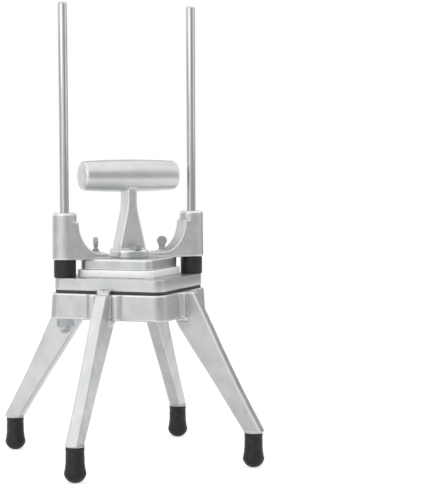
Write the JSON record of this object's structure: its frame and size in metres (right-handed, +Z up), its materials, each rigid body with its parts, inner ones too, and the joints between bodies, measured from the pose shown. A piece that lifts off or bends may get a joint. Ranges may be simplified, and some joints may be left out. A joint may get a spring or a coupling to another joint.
{
  "type": "french fry cutter",
  "caption": "Push-down french fry cutter: a T-handled pusher head on two guide rods presses a toothed block through a blade grid in a square base on legs.",
  "frame": {"origin": "centre of the four feet on the surface that the cutter stands on", "axes": "+Z up along the guide rods, X along the T-handle through both rods, front is -Y"},
  "size_m": [0.2202, 0.2202, 0.4826],
  "materials": {
    "cast_aluminium": "tumbled casting, satin",
    "bright_steel": "ground and polished",
    "zinc_steel": "bright zinc plate",
    "blade_steel": "ground",
    "pale_ring": "turned, satin",
    "black_rubber": "matt moulded rubber",
    "white_plastic": "smooth moulded",
    "bush_plastic": "machined"
  },
  "bodies": {
    "base": {"base_casting": "cast_aluminium", "blade_gasket": "black_rubber", "blade_frame": "cast_aluminium", "leg_front": "cast_aluminium", "leg_screw_front": "zinc_steel", "foot_ring_front": "pale_ring", "foot_boot_front": "black_rubber", "leg_right": "cast_aluminium", "leg_screw_right": "zinc_steel", "foot_ring_right": "pale_ring", "foot_boot_right": "black_rubber", "leg_rear": "cast_aluminium", "leg_screw_rear": "zinc_steel", "foot_ring_rear": "pale_ring", "foot_boot_rear": "black_rubber", "leg_left": "cast_aluminium", "leg_screw_left": "zinc_steel", "foot_ring_left": "pale_ring", "foot_boot_left": "black_rubber", "guide_rod_left": "bright_steel", "rod_washer_left": "zinc_steel", "rod_cap_nut_left": "zinc_steel", "bumper_left": "black_rubber", "guide_rod_right": "bright_steel", "rod_washer_right": "zinc_steel", "rod_cap_nut_right": "zinc_steel", "bumper_right": "black_rubber", "lower_blade_1": "blade_steel", "lower_blade_2": "blade_steel", "lower_blade_3": "blade_steel", "lower_blade_4": "blade_steel", "lower_blade_5": "blade_steel", "lower_blade_6": "blade_steel", "upper_blade_1": "blade_steel", "upper_blade_2": "blade_steel", "upper_blade_3": "blade_steel", "upper_blade_4": "blade_steel", "upper_blade_5": "blade_steel", "upper_blade_6": "blade_steel"},
    "pusher": {"pusher_head": "cast_aluminium", "pusher_block": "white_plastic", "t_handle": "cast_aluminium", "handle_bolt_front": "zinc_steel", "handle_bolt_rear": "zinc_steel", "sleeve_bush_left": "bush_plastic", "sleeve_bush_right": "bush_plastic"},
    "left_thumb_screw": {"thumb_screw_left": "cast_aluminium"},
    "right_thumb_screw": {"thumb_screw_right": "cast_aluminium"}
  },
  "joints": [
    {"name": "pusher_slide", "type": "slide", "parent": "base", "child": "pusher", "axis": [0, 0, 1], "range_m": [0, 0.2]},
    {"name": "left_thumb_screw_turn", "type": "hinge", "parent": "pusher", "child": "left_thumb_screw", "pos_m": [-0.038, 0, 0.222], "axis": [0, 0, 1], "continuous": true},
    {"name": "right_thumb_screw_turn", "type": "hinge", "parent": "pusher", "child": "right_thumb_screw", "pos_m": [0.038, 0, 0.222], "axis": [0, 0, 1], "continuous": true}
  ]
}
